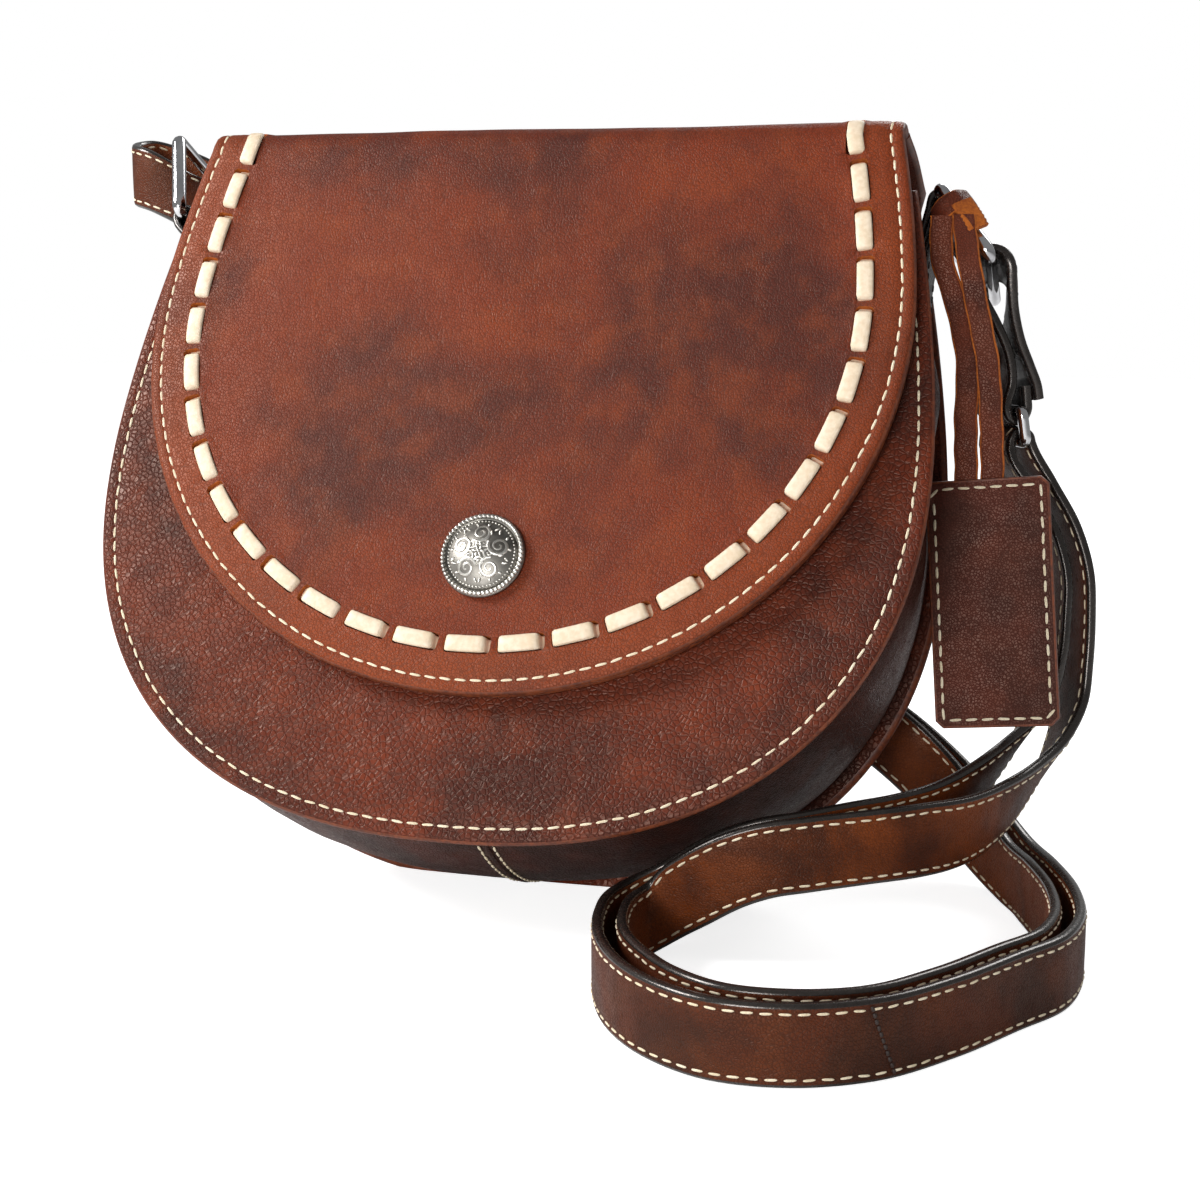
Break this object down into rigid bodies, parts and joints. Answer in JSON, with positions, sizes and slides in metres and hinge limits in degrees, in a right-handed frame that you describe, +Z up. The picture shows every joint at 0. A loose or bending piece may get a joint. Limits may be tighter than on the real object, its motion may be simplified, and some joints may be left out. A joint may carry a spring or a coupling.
{
  "type": "crossbody bag",
  "caption": "Leaning round-bottomed leather crossbody bag with a laced flap, metal button, doubled strap and hangtag.",
  "frame": {"origin": "on the ground under the lower rear edge of the bag, in the middle of its width", "axes": "+Z up, front faces -Y, +X to the right as seen from the front"},
  "size_m": [0.3374, 0.218, 0.2362],
  "materials": {
    "shell_leather": "semi-gloss",
    "gusset_leather": "semi-gloss",
    "flap_leather": "semi-gloss",
    "strap_leather": "semi-gloss",
    "black_edge_leather": "gloss",
    "lace_leather": "matte",
    "thong_leather": "semi-gloss",
    "tag_leather": "semi-gloss",
    "lining_cloth": "matte",
    "bright_metal": "polished",
    "aged_silver": "satin",
    "steel": "satin"
  },
  "bodies": {
    "root": {"front_panel": "shell_leather", "back_panel": "shell_leather", "gusset_left": "gusset_leather", "gusset_right": "gusset_leather", "lining": "lining_cloth", "slip_pocket": "lining_cloth", "flap_root": "flap_leather", "magnet_front": "steel", "magnet_washer": "steel", "tab_left": "black_edge_leather", "tab_right": "black_edge_leather", "strap_short": "black_edge_leather", "strap_short_rivet": "aged_silver", "strap_ring": "bright_metal", "strap_inner_drop": "strap_leather", "strap_inner_loop": "strap_leather", "strap_inner_rise": "strap_leather", "strap_outer_drop": "strap_leather", "strap_outer_loop": "strap_leather", "strap_outer_rise": "strap_leather", "strap_back": "strap_leather", "strap_back_rivet": "aged_silver", "slider": "bright_metal"},
    "arch": {"flap_top": "flap_leather"},
    "flap": {"flap": "flap_leather", "flap_backing": "shell_leather", "flap_lace": "lace_leather", "concho": "aged_silver", "concho_screw": "steel", "magnet_flap": "steel"},
    "left_ring": {"ring_left": "bright_metal"},
    "right_ring": {"ring_right": "bright_metal"},
    "tag": {"thong": "thong_leather", "hangtag": "tag_leather", "hangtag_back": "tag_leather"}
  },
  "joints": [
    {"name": "flap_fold", "type": "hinge", "parent": "root", "child": "arch", "pos_m": [0, 0.07175, 0.2125], "axis": [-1, 0, 0], "range_deg": [0, 130]},
    {"name": "flap_bend", "type": "hinge", "parent": "arch", "child": "flap", "pos_m": [0, 0.03347, 0.23217], "axis": [-1, 0, 0], "range_deg": [0, 65]},
    {"name": "left_ring_swing", "type": "hinge", "parent": "root", "child": "left_ring", "pos_m": [-0.12892, 0.04875, 0.2024], "axis": [0, 0.8894, -0.4571], "range_deg": [-4, 4]},
    {"name": "right_ring_swing", "type": "hinge", "parent": "root", "child": "right_ring", "pos_m": [0.122, 0.05126, 0.20729], "axis": [0, 0.8894, -0.4571], "range_deg": [-4, 4]},
    {"name": "tag_swing", "type": "hinge", "parent": "root", "child": "tag", "pos_m": [0.12694, 0.03437, 0.20728], "axis": [-1, 0, 0], "range_deg": [0, 15]}
  ],
  "couplings": [
    {"joint": "flap_bend", "follows": "flap_fold", "ratio": 0.5}
  ]
}
